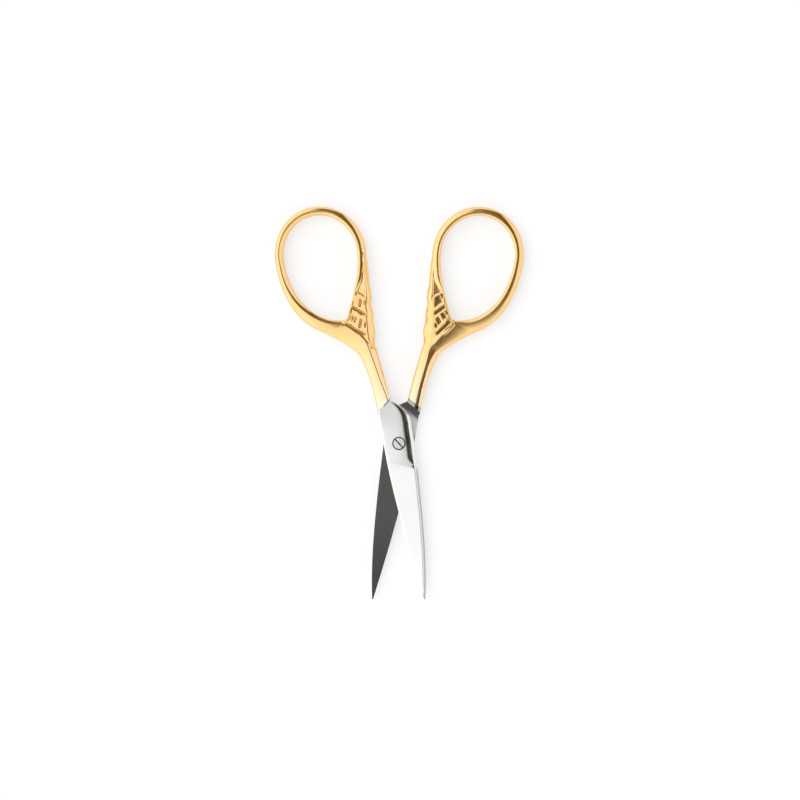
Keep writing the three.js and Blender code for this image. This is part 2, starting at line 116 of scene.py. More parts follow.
class Wire:
    # one socket, with sums written as Python
    def __init__(self, desk, socket):
        self.desk = desk
        self.socket = socket

    def sum(self, operation, first, second=None):
        inputs = {0: first} if second is None else {0: first, 1: second}
        return self.desk.make("ShaderNodeMath", {"operation": operation}, inputs)

    def __abs__(self):
        return self.sum("ABSOLUTE", self)

    __add__ = __radd__ = operator("ADD")
    __mul__ = __rmul__ = operator("MULTIPLY")
    __sub__, __rsub__ = operator("SUBTRACT"), operator("SUBTRACT", True)
    __truediv__, __rtruediv__ = operator("DIVIDE"), operator("DIVIDE", True)
    __pow__ = operator("POWER")
    __gt__, __lt__ = operator("GREATER_THAN"), operator("LESS_THAN")
    least, most = operator("MINIMUM"), operator("MAXIMUM")

    def ease(self, low, high):
        inputs = {"Value": self, "From Min": low, "From Max": high}
        return self.desk.make("ShaderNodeMapRange", {"interpolation_type": "SMOOTHSTEP"}, inputs)


class Desk:
    # makes the nodes of one tree
    def __init__(self, tree):
        self.tree = tree

    def make(self, kind, settings=None, inputs=None, out=0):
        node = self.tree.nodes.new(kind)
        for name, value in (settings or {}).items():
            setattr(node, name, value)
        for key, value in (inputs or {}).items():
            socket = node.inputs[key]
            if isinstance(value, Wire):
                self.tree.links.new(value.socket, socket)
            else:
                socket.default_value = value
        return Wire(self, node.outputs[out]) if node.outputs else None

    def split(self, vector):
        node = self.make("ShaderNodeSeparateXYZ", None, {0: vector}).socket.node
        return [Wire(self, socket) for socket in node.outputs]

    def noise(self, vector, scale, detail):
        return self.make("ShaderNodeTexNoise", None, {"Vector": vector, "Scale": scale, "Detail": detail})

    def bump(self, strength, distance, height):
        inputs = {"Strength": strength, "Distance": distance, "Height": height}
        return self.make("ShaderNodeBump", None, inputs)

    def surface(self, colour, metallic, roughness, bump, shine=0.5):
        inputs = {"Base Color": colour, "Metallic": metallic, "Roughness": roughness, "Normal": bump}
        inputs["Specular IOR Level"] = shine
        return self.make("ShaderNodeBsdfPrincipled", None, inputs)

    def blend(self, share, first, second):
        return self.make("ShaderNodeMix", {"data_type": "RGBA"}, {0: share, 6: first, 7: second}, 2)


def startMaterial(name):
    material = bpy.data.materials.new(name)
    material.use_nodes = True
    material.node_tree.nodes.clear()
    return material, Desk(material.node_tree)


def endMaterial(desk, shader):
    desk.make("ShaderNodeOutputMaterial", None, {"Surface": shader})


def grey(value):
    return (value, value, value, 1)


# Finishes. Every piece carries its drawing coordinates as the attribute "drawn", in millimetres.
gilding = {
    "gold": (0.975, 0.685, 0.305, 1),
    "pale": (0.98, 0.79, 0.545, 1),
    "lacquer": (0.7, 0.3, 0.045, 1),
    "lacquerShare": 0.19,
    # soil, and the tone of the painted shade in the carving
    "grimeAndShade": (0.10, 0.042, 0.008, 1),
    "bareSteel": (0.80, 0.76, 0.69, 1),
    "paleHighlightRun": (9.0, 25.0),  # painted highlight: the gilding turns paler towards the blades, between these heights
    "highlightShare": 0.75,  # the rest of the paleness is cloudy
    "paleLessLacquer": 0.6,  # share of the lacquer that the pale gilding lacks
    "fadeRun": 1.3,  # it is rubbed off beside the steel
    "fadeShare": 0.82,
    "soilAndShade": (0.6, 0.3),  # soil and painted shade in the carving: all over, and soil in specks
    "roughness": 0.12,
    "rougher": (0.1, 0.1, 0.08),  # by clouds, scratches and carving
    "mattRoughness": 0.6,
    "mattShine": 0.2,
    "lengthways": ((14.0, 0.9, 14.0), 0.0),  # scale and turn of the scratches
    "crossways": ((0.8, 16.0, 16.0), 0.5),
    "relief": (0.5, 0.05, -0.05),  # of clouds, specks and scratches
}
steel = {
    "bright": (0.785, 0.78, 0.765, 1),
    "satin": (0.85, 0.845, 0.825, 1),
    "ground": (0.725, 0.725, 0.722, 1),
    # stains and grime, and the tone of the painted shade on the blades and the screw
    "grimeAndShade": (0.05, 0.047, 0.042, 1),
    "roughness": 0.13,
    "rougher": (0.45, -0.04, 0.25),  # on the satin, the inner face and its plate
    "uneven": (0.05, 0.07),  # by clouds and rubbed lines
    "evenInside": 0.85,
    "satinRun": (-5.55, -5.05),  # the plate's satin face ends between these heights
    "satinDepth": 0.085,  # and where its bevel has fallen by this much
    "satinMetal": 0.35,  # share of the satin that is not metallic
    "satinMottle": 0.4,
    "innerDepth": (0.004, 0.012),  # what counts as the inner face, above the lap
    "innerLow": -0.02,
    "innerPlate": (1.0, 3.0),  # the joint plate's inner face is half satin above the pivot
    "innerPlateShare": 0.45,
    "stainAndShade": (0.1, 0.07, 0.3),  # on the inner face: stains all over and mottled, and painted shade towards the point
    # the painted shade darkens towards the point between these heights
    "pointShadeRun": (-34.0, -14.0),
    "plateShadeRun": 0.4,  # painted shade beside the plate's bevel, over this part of the plate's width
    "plateShadeShare": 0.8,
    # painted shade over the neck
    "neckShade": 0.6,
    "neckRun": (-3.0, 8.0),
    # tone of the painted shade on the hollow ramp and the bolster
    "rampShadeTone": (0.26, 0.26, 0.27, 1),
    "rampShare": 0.85,
    "rampRise": (0.02, 0.1),
    "bolsterShare": (0.5, 0.4),  # painted shade on the bolster: all over, and in streaks
    "shoulderShade": (1.1, 2.3),  # the inner face darkens below the bolster's shoulder
    "shoulderShare": 0.92,
    "headRingShade": (1.42, 1.56),  # painted shade in the gap round the screw's head, and grime specks, fade between these radii
    "headRingShares": (0.75, 0.25),
    "arrisShade": (0.03, 0.13),  # half width of the painted shade line along the arris of the spine's bevel
    "arrisShare": 0.4,
    "arrisEnd": (-33.5, -31.0),
    # painted shade on the spine's bevel, darkest at its outer edge
    "bevelShadeShare": 0.62,
    "bevelStart": (-7.0, -5.0),
    "wheel": ((0.35, 13.0, 5.0), 0.12),  # scale and turn of the grinding marks
    "rubbed": ((6.0, 0.5, 4.0), 0.35),
}
fastener = {
    "steel": (0.80, 0.79, 0.775, 1),
    "metal": 0.7,
    "roughness": 0.42,
    "rings": 5.0,  # turning marks to the millimetre
    # painted shade on the head's rounded rim, between these radii
    "rim": (1.13, 1.24),
    "rimShadeShare": 0.85,
    # grime and painted shade in the slot, between these depths
    "slot": (0.04, 0.16),
}


def startFinish(name):
    material, desk = startMaterial(name)
    drawn = desk.make("ShaderNodeAttribute", {"attribute_name": "drawn"}, None, 1)
    return material, desk, drawn, *desk.split(drawn)


def stretched(desk, vector, scale, turn):
    # noise drawn out along one axis, for scratches and wheel marks
    inputs = {"Vector": vector, "Rotation": (0, 0, turn), "Scale": scale}
    return desk.noise(desk.make("ShaderNodeMapping", None, inputs), 1.0, 3.0)


def summed(base, shares, marks):
    for share, mark in zip(shares, marks):
        base = base + share * mark
    return base


def above(x, y, point, slope):
    # distance over a line across the shank
    up = heading(slope)[1]
    return x * up[0] + y * up[1] - up @ point


def giltMaterial():
    material, desk, drawn, x, y, z = startFinish("gilt")
    rise = above(x, y, outerGiltPoint, joint["giltSlope"])
    worn = (1 - rise.ease(0, gilding["fadeRun"])) * (z > 0.0)
    cloud = desk.noise(drawn, 0.35, 4.0)
    speck = desk.noise(drawn, 7.0, 5.0)
    recess = desk.make("ShaderNodeAttribute", {"attribute_name": "recess"}, None, 2)
    highlightShare = gilding["highlightShare"]
    # paler towards the blades as a painted highlight, and cloudy paler patches
    paleCloudsAndHighlight = (1 - y.ease(*gilding["paleHighlightRun"])) * highlightShare + (1 - highlightShare) * cloud.ease(0.4, 0.7)
    colour = desk.blend(paleCloudsAndHighlight, gilding["gold"], gilding["pale"])
    colour = desk.blend(worn * gilding["fadeShare"], colour, gilding["bareSteel"])
    # soil, and painted shade darkening the carving's recesses
    soilAndShadeAll, soilSpecks = gilding["soilAndShade"]
    soiledAndShaded = recess * (soilAndShadeAll + soilSpecks * speck.ease(0.4, 0.7))
    colour = desk.blend(soiledAndShaded, colour, gilding["grimeAndShade"])
    lengthways = stretched(desk, drawn, *gilding["lengthways"])
    crossways = stretched(desk, drawn, *gilding["crossways"])
    scratch = lengthways.ease(0.62, 0.72) + crossways.ease(0.66, 0.74)
    marks = cloud.ease(0.4, 0.75), scratch, recess
    roughness = summed(gilding["roughness"], gilding["rougher"], marks)
    bump = desk.bump(0.16, 0.00022, summed(0.0, gilding["relief"], (cloud, speck, scratch)))
    metal = desk.surface(colour, 1.0, roughness, bump)
    lacquer = desk.blend(soiledAndShaded, gilding["lacquer"], gilding["grimeAndShade"])
    matt = desk.surface(lacquer, 0.0, gilding["mattRoughness"], bump, gilding["mattShine"])
    share = gilding["lacquerShare"] * (1 - worn * gilding["fadeShare"])
    share = share * (1 - gilding["paleLessLacquer"] * paleCloudsAndHighlight)
    endMaterial(desk, desk.make("ShaderNodeMixShader", None, {0: share, 1: metal, 2: matt}))
    return material


def besideSpine(x, y):
    # distance from the spine's curve towards the edge; bladePlate draws the curve
    (firstReach, firstDepth), secondTurn = blade["spineTurns"]
    along = (0.0 - y).most(0.0) / blade["length"]
    pace = -3 * firstDepth  # depth is pace * t - (pace - 1) * t**3
    t = along / (pace - (pace - 1) * along * along)
    rest = 1 - t
    spine = joint["spineSide"] * rest * (rest * rest + t * (3 * firstReach * rest + 3 * secondTurn[0] * t))
    return spine + 2 / 3 * blade["pointWidth"] * t * t * t - x


def bladeMaterial():
    material, desk, drawn, x, y, z = startFinish("bladeSteel")
    cloud = desk.noise(drawn, 0.5, 4.0)
    mottle = desk.noise(drawn, 2.6, 4.0)
    speck = desk.noise(drawn, 16.0, 3.0)
    wheel = stretched(desk, drawn, *steel["wheel"])
    rubbed = stretched(desk, drawn, *steel["rubbed"])

    # where each finish lies
    inside = (1 - (z - innerFace).ease(*steel["innerDepth"])) * (z > steel["innerLow"])
    plateInside = inside * y.ease(*steel["innerPlate"])
    taper = (blade["plateThickness"] - blade["pointThickness"]) / blade["length"]
    crest = joint["spineSide"] - blade["plateBevel"]
    aside = ((crest - x) / (crest + joint["edgeSide"])).most(0.0)
    face = plateTop + taper * y.least(0.0) - blade["plateCrown"] * aside * aside
    satin = y.ease(*steel["satinRun"]) * (1 - (face - z).ease(0.0, steel["satinDepth"])) * (1 - inside)
    shoulder = 0.0 - above(x, y, shoulderPoint, joint["shoulderSlope"])
    beside = besideSpine(x, y)
    bevel = (1 - satin) * (1 - inside) * (1 - y.ease(*steel["bevelStart"]))

    # its mottle, stains and grime, and painted shade
    plain = 1 - steel["satinMottle"] * mottle.ease(0.42, 0.7)
    stainAll, stainMottled, pointShade = steel["stainAndShade"]
    # stains, and painted shade towards the point
    stainAndShade = stainMottled * mottle.ease(0.3, 0.7) + stainAll + pointShade * (1 - y.ease(*steel["pointShadeRun"]))
    # painted shade on the satin plate beside its bevel and over the neck
    plateShade = steel["plateShadeShare"] * (1 - aside.ease(0.0, steel["plateShadeRun"]))
    plateShade = plateShade.most(steel["neckShade"] * y.ease(*steel["neckRun"]))
    # painted shade: a dark line along the spine bevel's arris, and the bevel darker towards its outer edge
    line = (1 - abs(beside - blade["spineBevel"]).ease(*steel["arrisShade"])) * steel["arrisShare"]
    line = line * y.ease(*steel["arrisEnd"])
    outer = (1 - beside.ease(0.0, blade["spineBevel"])) * steel["bevelShadeShare"]
    # painted shade on the hollow ramp above the plate and on the bolster below the lap
    ramp = (z - plateTop).ease(*steel["rampRise"]) * steel["rampShare"]
    bolsterAll, bolsterStreaks = steel["bolsterShare"]
    bolster = (z < steel["innerLow"]) * (bolsterAll + bolsterStreaks * rubbed.ease(0.4, 0.6))
    shade = inside * (1 - shoulder.ease(*steel["shoulderShade"])) * steel["shoulderShare"]
    # painted shade in the gap round the screw's head, with specks of grime
    ringShade, grimeSpecks = steel["headRingShares"]
    radius = (x * x + y * y) ** 0.5
    ringShadeAndGrime = (1 - radius.ease(*steel["headRingShade"])) * (ringShade + grimeSpecks * speck)

    layers = (
        (satin * plain, "satin"),
        (inside * (0.8 + 0.2 * wheel.ease(0.3, 0.7)), "ground"),
        (inside * stainAndShade, "grimeAndShade"),
        (satin * plateShade, "ground"),
        (plateInside * steel["innerPlateShare"], "satin"),
        (bevel * line.most(outer), "grimeAndShade"),
        (ramp.most(bolster), "rampShadeTone"),
        (shade.most(ringShadeAndGrime), "grimeAndShade"),
    )
    colour = desk.blend(0.12 * cloud, steel["bright"], steel["ground"])
    for share, tone in layers:
        colour = desk.blend(share, colour, steel[tone])
    uneven = summed(0.0, steel["uneven"], (cloud.ease(0.4, 0.7), rubbed.ease(0.6, 0.75)))
    roughness = summed(steel["roughness"], steel["rougher"], (satin, inside, plateInside))
    roughness = roughness + uneven * (1 - steel["evenInside"] * inside)
    height = wheel * (0.12 + 0.55 * inside) + 0.2 * rubbed
    height = height + speck * (0.02 + 0.5 * satin) + 0.5 * mottle * satin
    metallic = 1 - steel["satinMetal"] * satin.most(plateInside)
    endMaterial(desk, desk.surface(colour, metallic, roughness, desk.bump(1.0, 0.000003, height)))
    return material


def screwMaterial():
    material, desk, drawn, x, y, z = startFinish("screwSteel")
    radius = (x * x + y * y) ** 0.5
    speck = desk.noise(drawn, 9.0, 4.0)
    ringTurn = radius * (2 * math.pi * fastener["rings"])
    turned = ringTurn.sum("SINE", ringTurn)
    # painted shade on the head's rim, and grime and painted shade in the slot
    rim = fastener["rimShadeShare"] * radius.ease(*fastener["rim"])
    slotGrimeAndRimShade = (plateTop - z).ease(*fastener["slot"]).most(rim) * (z > 0.0)
    colour = desk.blend(0.3 * speck.ease(0.35, 0.7), fastener["steel"], steel["ground"])
    colour = desk.blend(slotGrimeAndRimShade, colour, steel["grimeAndShade"])
    roughness = fastener["roughness"] + 0.15 * speck
    bump = desk.bump(0.1, 0.00005, 0.15 * turned + 0.4 * speck)
    endMaterial(desk, desk.surface(colour, fastener["metal"], roughness, bump))
    return material


# Mesh tools
def objectOf(name, data):
    obj = bpy.data.objects.new(name, data)
    scene.collection.objects.link(obj)
    return obj


def outward(mesh):
    work = bmesh.new()
    work.from_mesh(mesh)
    bmesh.ops.remove_doubles(work, verts=work.verts, dist=1e-4)
    bmesh.ops.recalc_face_normals(work, faces=work.faces)
    work.to_mesh(mesh)
    work.free()


def meshFrom(name, points, faces):
    mesh = bpy.data.meshes.new(name)
    mesh.from_pydata([tuple(map(float, p)) for p in points], [], faces)
    outward(mesh)
    return objectOf(name, mesh)


def settle(obj):
    # the modifiers' result becomes the object's own mesh
    graph = bpy.context.evaluated_depsgraph_get()
    result = bpy.data.meshes.new_from_object(obj.evaluated_get(graph))
    old = obj.data
    obj.modifiers.clear()
    obj.data = result
    bpy.data.meshes.remove(old)
    return obj


def combine(obj, operation, *tools):
    for tool in tools:
        modifier = obj.modifiers.new("combine", "BOOLEAN")
        modifier.operation = operation
        modifier.solver = "MANIFOLD"
        modifier.object = tool
        settle(obj)
        bpy.data.objects.remove(tool)
    return obj


def copyOf(obj, name):
    return objectOf(name, obj.data.copy())


def prism(outline, low, high):
    # heights are one number, or one for each point of the outline
    levels = (np.broadcast_to(level, (len(outline),)) for level in (low, high))
    return skin("prism", [np.column_stack([outline, level]) for level in levels])


def beyond(point, slope, low, high):
    # all that lies on the bow's side of a line across the shank
    along, up = heading(slope)
    start, end = point - far * along, point + far * along
    return prism([start, end, end + far * up, start + far * up], low, high)


def circle(radius):
    turns = np.linspace(0, 2 * math.pi, pivot["sides"], endpoint=False)
    return np.column_stack([radius * np.cos(turns), radius * np.sin(turns)])


def skin(name, rings):
    # faces over equal rings of points, closed at both ends
    count, around = len(rings), len(rings[0])
    faces = []
    for i in range(count - 1):
        for j in range(around):
            k = (j + 1) % around
            faces.append([i * around + j, i * around + k, (i + 1) * around + k, (i + 1) * around + j])
    faces.append(list(range(around))[::-1])
    faces.append([(count - 1) * around + j for j in range(around)])
    return meshFrom(name, np.concatenate(rings), faces)


# Geometry nodes: an oval skin over stations, each with two edge points, a height and the places of its ridges
def ovalLoft():
    tree = bpy.data.node_groups.new("ovalLoft", "GeometryNodeTree")
    sockets = (
        ("Stations", "NodeSocketGeometry"),
        ("Station count", "NodeSocketInt"),
        ("Section points", "NodeSocketInt"),
        ("Finish", "NodeSocketMaterial"),
    )
    for name, kind in sockets:
        tree.interface.new_socket(name, in_out="INPUT", socket_type=kind)
    tree.interface.new_socket("Skin", in_out="OUTPUT", socket_type="NodeSocketGeometry")
    desk = Desk(tree)
    given = tree.nodes.new("NodeGroupInput")
    stations, count, around, finish = (Wire(desk, given.outputs[name]) for name, kind in sockets)
    grid = desk.make("GeometryNodeMeshGrid", None, {"Vertices X": around + 1, "Vertices Y": count})
    gridX, gridY = desk.split(desk.make("GeometryNodeInputPosition"))[:2]
    place = desk.make("FunctionNodeFloatToInt", {"rounding_mode": "ROUND"}, {0: (gridY + 0.5) * (count - 1)})

    def read(name, kind="FLOAT"):
        value = desk.make("GeometryNodeInputNamedAttribute", {"data_type": kind}, {"Name": name})
        settings = {"data_type": kind, "domain": "POINT"}
        inputs = {"Geometry": stations, "Value": value, "Index": place}
        return desk.make("GeometryNodeSampleIndex", settings, inputs)

    def rounded(operation, turn, power):
        value = turn.sum(operation, turn)
        return value.sum("SIGN", value) * abs(value) ** (2 / power)

    power = read("power")
    turn = (gridX + 0.625) * (2 * math.pi)  # the seam lies between crest and edge
    share = rounded("SINE", turn, power) * 0.5 + 0.5
    rise = rounded("COSINE", turn, power)
    ridgeUnder = read("ridgeUnder")
    ridge = ridgeUnder + (read("ridgeOver") - ridgeUnder) * (rise > 0.0)
    share = share + (ridge - 0.5) * 4 * share * (1 - share)
    over = share - ridge
    # past a flat strip each face falls more steeply, the outer one inwards and the inner one outwards
    hipOver = read("hipOver") * (over - read("flatOver")).most(0.0) * (rise > 0.0)
    hipUnder = read("hipUnder") * (0.0 - over - read("flatUnder")).most(0.0) * (rise < 0.0)
    height = read("half") * rise * (1 - read("roof") * abs(over) - hipOver - hipUnder)
    edges = {0: share, 4: read("outer", "FLOAT_VECTOR"), 5: read("inner", "FLOAT_VECTOR")}
    across = desk.make("ShaderNodeMix", {"data_type": "VECTOR"}, edges, 1)
    lifted = desk.make("ShaderNodeCombineXYZ", None, {"Z": height})
    position = desk.make("ShaderNodeVectorMath", {"operation": "ADD"}, {0: across, 1: lifted})
    placed = desk.make("GeometryNodeSetPosition", None, {"Geometry": grid, "Position": position})
    closed = desk.make("GeometryNodeMergeByDistance", None, {"Geometry": placed, "Distance": 1e-4})
    plain = desk.make("GeometryNodeRealizeInstances", None, {"Geometry": closed})
    dressed = desk.make("GeometryNodeSetMaterial", None, {"Geometry": plain, "Material": finish})
    tree.links.new(dressed.socket, tree.nodes.new("NodeGroupOutput").inputs[0])
    return tree


def stationObject(name, count, columns):
    mesh = bpy.data.meshes.new(name)
    mesh.from_pydata([(0, 0, 0)] * count, [], [])
    for column, values in columns.items():
        values = np.asarray(values, np.float32)
        vector = values.ndim == 2
        store = mesh.attributes.new(column, "FLOAT_VECTOR" if vector else "FLOAT", "POINT")
        store.data.foreach_set("vector" if vector else "value", values.ravel())
    return objectOf(name, mesh)


def runTree(obj, tree, inputs):
    modifier = obj.modifiers.new("tree", "NODES")
    modifier.node_group = tree
    keys = {s.name: s.identifier for s in tree.interface.items_tree if s.in_out == "INPUT"}
    for name, value in inputs.items():
        modifier[keys[name]] = value
    settle(obj)
    outward(obj.data)
    return obj


sectionPoints = 56
sectionNames = (
    "half", "power", "roof", "hipOver", "hipUnder", "flatOver", "flatUnder", "ridgeOver", "ridgeUnder"
)


def loft(name, outer, inner, shape, closed):
    # shape holds the columns of sectionNames
    columns = [np.broadcast_to(np.asarray(v, float), (len(outer),)) for v in shape]
    table = np.column_stack([outer, inner, *columns])
    if closed:
        table = np.vstack([table, table[:1]])
    else:
        ends = table[[0, -1]].copy()
        ends[:, 0:2] = ends[:, 2:4] = (ends[:, 0:2] + ends[:, 2:4]) / 2
        ends[:, 4] = 0
        table = np.vstack([ends[:1], table, ends[1:]])
    level = np.zeros((len(table), 1))
    named = {"outer": np.hstack([table[:, 0:2], level]), "inner": np.hstack([table[:, 2:4], level])}
    named.update(zip(sectionNames, table[:, 4:].T))
    obj = stationObject(name, len(table), named)
    inputs = {"Station count": len(table), "Section points": sectionPoints, "Finish": gilt}
    return runTree(obj, loftTree, inputs)


# Finger bow
bow = {
    "gap": 0.5,
    "height": 44.0,
    "holeWidth": 16.3,
    "holeTop": 8.75,
    "holeDrop": 15.35,
    "holeLean": 2.95,
    "cornerRound": 0.9,
    "cornerReach": ((-1.1, 0.4), (0.8, 1.0)),  # both ends of the corner's turn, as parts of it
    "outsideTurn": (0.57, 0.555, 0.052),  # drop of the first turn, reach and rise of the second
    "insideTurn": (0.32, 0.33, 0.21),
    "bandTop": 2.044,
    "bandSide": 2.0,
    "bandLow": 3.1,
    "hipWidth": 0.28,  # added where the outer side turns under
    "thickness": 2.8,
    "squareness": 2.9,
    "ridgeOver": (0.5, 0.14, 0.08),  # place of the ridge, and how it moves round the hole
    "ridgeUnder": (0.68, -0.09, -0.04),
    "roof": 0.2,
    "hip": 0.25,
    "lowSquareness": 2.6,  # and the same where the bow meets the shank
    "lowRidge": 0.7,
    "lowRoof": 0.3,
    "rim": 0.9,  # band left beside the lattice
    "rimRun": (38.5, 34.5),
    "stations": 360,
}
bowCentre = flat(-(bow["gap"] / 2 + bow["bandSide"] + bow["holeWidth"] / 2), bow["height"])
corner = bowCentre + flat(bow["holeLean"], -bow["holeDrop"])


def holeRound():
    half, drop, turn = bow["holeWidth"] / 2, bow["holeDrop"], bow["cornerRound"]
    cx, cy = bowCentre
    left, right = (corner + turn * flat(*reach) for reach in bow["cornerReach"])
    angles = np.linspace(0, math.pi, 800)
    top = np.column_stack([cx + half * np.cos(angles), cy + bow["holeTop"] * np.sin(angles)])
    t = np.linspace(0, 1, 500)
    sides = []
    for end, side, turns in ((left, cx - half, bow["outsideTurn"]), (right, cx + half, bow["insideTurn"])):
        down, across, up = turns
        lowTurn = mix(end[0], side, across), end[1] + up * drop
        sides.append(bezier([(side, cy), (side, cy - down * drop), lowTurn, end], t))
    outside, inside = sides[0], sides[1][::-1]
    foot = bezier([left, corner, right], t[::10])
    path = np.concatenate([top, outside[1:], foot[1:], inside[1:-1]])
    looped = np.vstack([path, path[:1]])
    steps = np.linalg.norm(np.diff(looped, axis=0), axis=1)
    reach = np.concatenate([[0], np.cumsum(steps)])
    wanted = np.linspace(0, reach[-1], bow["stations"], endpoint=False)
    points = np.column_stack([np.interp(wanted, reach, looped[:, k]) for k in (0, 1)])
    along = np.roll(points, -1, 0) - np.roll(points, 1, 0)
    along /= np.linalg.norm(along, axis=1)[:, None]
    return points, np.column_stack([along[:, 1], -along[:, 0]])


holePoints, holeOut = holeRound()
(holeX, holeY), (outX, outY) = holePoints.T, holeOut.T
panelSide = outX > 0.1  # the part of the hole beside the lattice
bandWidth = bow["bandSide"] * outX**2 + np.where(outY < 0, bow["bandLow"], bow["bandTop"]) * outY**2
bandWidth += bow["hipWidth"] * np.clip(-2 * outX, 0, None) * np.clip(-outY, 0, None)


def bowSkin():
    beside = panelSide & (holeY < bow["height"])
    narrowed = np.where(beside, ease(holeY, *bow["rimRun"]), 0)
    width = mix(bandWidth, bow["rim"], narrowed)
    low = ease(-outY, 0.15, 0.9) * (holeX < corner[0] + 1)
    outer = holePoints + holeOut * width[:, None]
    ridges = []
    for middle, swing, bend in (bow["ridgeOver"], bow["ridgeUnder"]):
        ridges.append(mix(middle + swing * outX + bend * outX**2, bow["lowRidge"], low))
    power = mix(bow["squareness"], bow["lowSquareness"], low)
    roof = mix(bow["roof"], bow["lowRoof"], low)
    hipOver = bow["hip"] * ease(-outX, 0.05, 0.7)
    shape = (bow["thickness"] / 2, power, roof, hipOver, 0, 0, 0, *ridges)
    return loft("bowSkin", outer, holePoints, shape, True)


# Shank and its turn into the bow
shank = {
    "width": 3.35,
    "forkHeight": 22.4,
    "forkInset": 1.72,
    "forkWidth": 4.2,
    "forkLean": 24.0,
    "forkRun": 2.3,
    "edgePower": 2.2,  # of the inner edge's curve
    "squareness": 3.4,
    "bowSquareness": 2.5,
    "landingAngle": 243.0,
    "landingReach": (0.2, 0.98),  # across the bow's band, inner and outer edge
    "innerTurn": ((-3.1, 24.0), (-4.7, 25.85), (-6.7, 28.0)),
    "stations": 220,
    "climb": 9.0,  # the section changes from here to the fork
    "earlyClimb": 16.5,  # or, for the flats and the outer ridge, to here
    "swells": ((0, 0), (0.25, 0), (0.5, 0.06), (0.75, 0.33)),  # share of the straight part, added width
    # roof, hips, flats and ridges, each at the blade and at the fork
    "straightSlopes": ((0.22, 0.34), (1.4, 1.2), (1.8, 1.2)),
    "straightFlats": ((0.02, 0.02), (0.24, 0.2)),
    "straightRidges": ((0.84, 0.63), (0.42, 0.5)),
    # height, roof, and the hips, flats and ridges of both faces, from the fork to the bow
    "turns": (
        (1.0, 0.34, 1.2, 0.6, 0.02, 0.35, 0.63, 0.58),
        (0.98, 0.34, 0.8, 0.0, 0.02, 0.40, 0.82, 0.62),
        (0.93, 0.32, 0.3, 0.0, 0.02, 0.40, 0.86, 0.72),
        (0.88, 0.30, 0.0, 0.0, 0.02, 0.40, 0.82, 0.76),
        (0.80, 0.30, 0.0, 0.0, 0.02, 0.40, 0.74, 0.72),
    ),
}
joint = {
    "knuckleHeight": 9.55,
    "spineSide": 3.4,
    "edgeSide": 3.36,
    "shoulderSlope": 27.8,
    "bolsterLength": 0.75,
    "giltSlope": 40.0,
    "giltRise": 0.3,
    "rampLength": 0.45,
    "rampHollow": 1.6,  # power of its curve
    # the knuckle's curve, as parts of the spine's side and of the height
    "knuckle": ((1.0, 0.31), (1.09, 0.73), (0.76, 0.81), (-0.1, 1.0)),
}
knuckle = [(joint["spineSide"] * across, joint["knuckleHeight"] * up) for across, up in joint["knuckle"]]


def shankEdge(y):
    return -shank["forkInset"] * (max(y, 0) / shank["forkHeight"]) ** shank["edgePower"]


seamAxis = shankEdge(joint["knuckleHeight"]) - shank["width"] / 2
shoulderTan = math.tan(math.radians(joint["shoulderSlope"]))
kneePoints = bezier(knuckle, np.linspace(0, 1, 41))
shoulderCos = math.cos(math.radians(joint["shoulderSlope"]))
giltCos = math.cos(math.radians(joint["giltSlope"]))
kneeRise = np.max(kneePoints[:, 1] - shoulderTan * (-kneePoints[:, 0] - seamAxis))
shoulderHeight = halves["shoulderGap"] + kneeRise  # clear of the other half's knuckle
shoulderPoint = flat(seamAxis, shoulderHeight)
innerGiltPoint = shoulderPoint + flat(0, joint["bolsterLength"] / shoulderCos)
outerGiltPoint = shoulderPoint + flat(0, joint["giltRise"])
fork = flat(-shank["forkInset"], shank["forkHeight"])


def shankSkin():
    along, up = heading(shank["forkLean"])
    forkOuter = fork - shank["forkWidth"] * along
    bend = forkOuter + shank["forkRun"] * up
    landing = int(np.argmax(holeOut @ heading(shank["landingAngle"])[0]))
    way = holeOut[landing] * bandWidth[landing]
    innerLanding, outerLanding = (holePoints[landing] + reach * way for reach in shank["landingReach"])
    outerTurn = bezier([forkOuter, bend, outerLanding], np.linspace(0, 1, 5))
    innerTurn = [fork, *shank["innerTurn"], innerLanding]
    rows = []  # inner x y, outer x y and the section
    for share, swell in shank["swells"]:
        y = mix(0.6 * joint["knuckleHeight"], shank["forkHeight"], share)
        x = shankEdge(y)
        climb = ease(y, shank["climb"], shank["forkHeight"])
        early = ease(y, shank["climb"], shank["earlyClimb"])
        section = [shankTop, shank["squareness"]]
        section += [mix(low, high, climb) for low, high in shank["straightSlopes"]]
        section += [mix(low, high, early) for low, high in shank["straightFlats"]]
        section += [mix(low, high, s) for (low, high), s in zip(shank["straightRidges"], (early, climb))]
        rows.append([x, y, x - shank["width"] - swell, y, *section])
    for i, shape in enumerate(shank["turns"]):
        power = mix(shank["squareness"], shank["bowSquareness"], i / 4)
        rows.append([*innerTurn[i], *outerTurn[i], shape[0] * shankTop, power, *shape[1:]])
    table = through(rows, np.linspace(0, 1, shank["stations"]))
    return loft("shankSkin", table[:, 2:4], table[:, 0:2], table[:, 4:].T, False)


